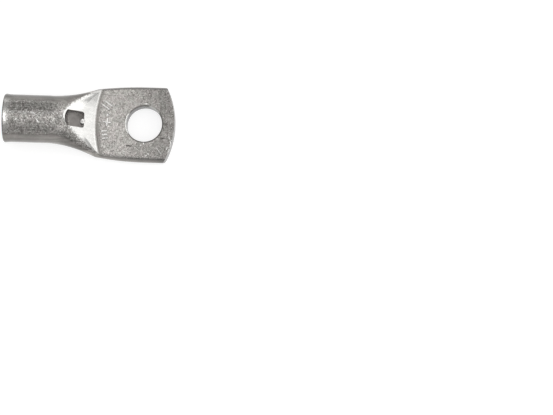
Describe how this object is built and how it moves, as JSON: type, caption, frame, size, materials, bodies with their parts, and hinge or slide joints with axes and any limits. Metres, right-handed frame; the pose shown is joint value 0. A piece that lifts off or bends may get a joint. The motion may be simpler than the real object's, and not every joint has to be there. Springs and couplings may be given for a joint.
{
  "type": "tubular cable lug",
  "caption": "Tin-plated copper tube lug with a round crimp barrel, an inspection window and a flattened palm punched for a stud.",
  "frame": {"origin": "where the stud hole's axis meets the palm's contact face", "axes": "+X along the lug from the barrel's mouth to the palm's free end, +Z out of the palm's upper face along the stud hole, +Y across the palm"},
  "size_m": [0.0301, 0.0136, 0.0087],
  "materials": {
    "tinned_copper": "satin, dull tin plate, burnished on the ramp"
  },
  "bodies": {
    "root": {"cable_lug": "tinned_copper"}
  },
  "joints": []
}
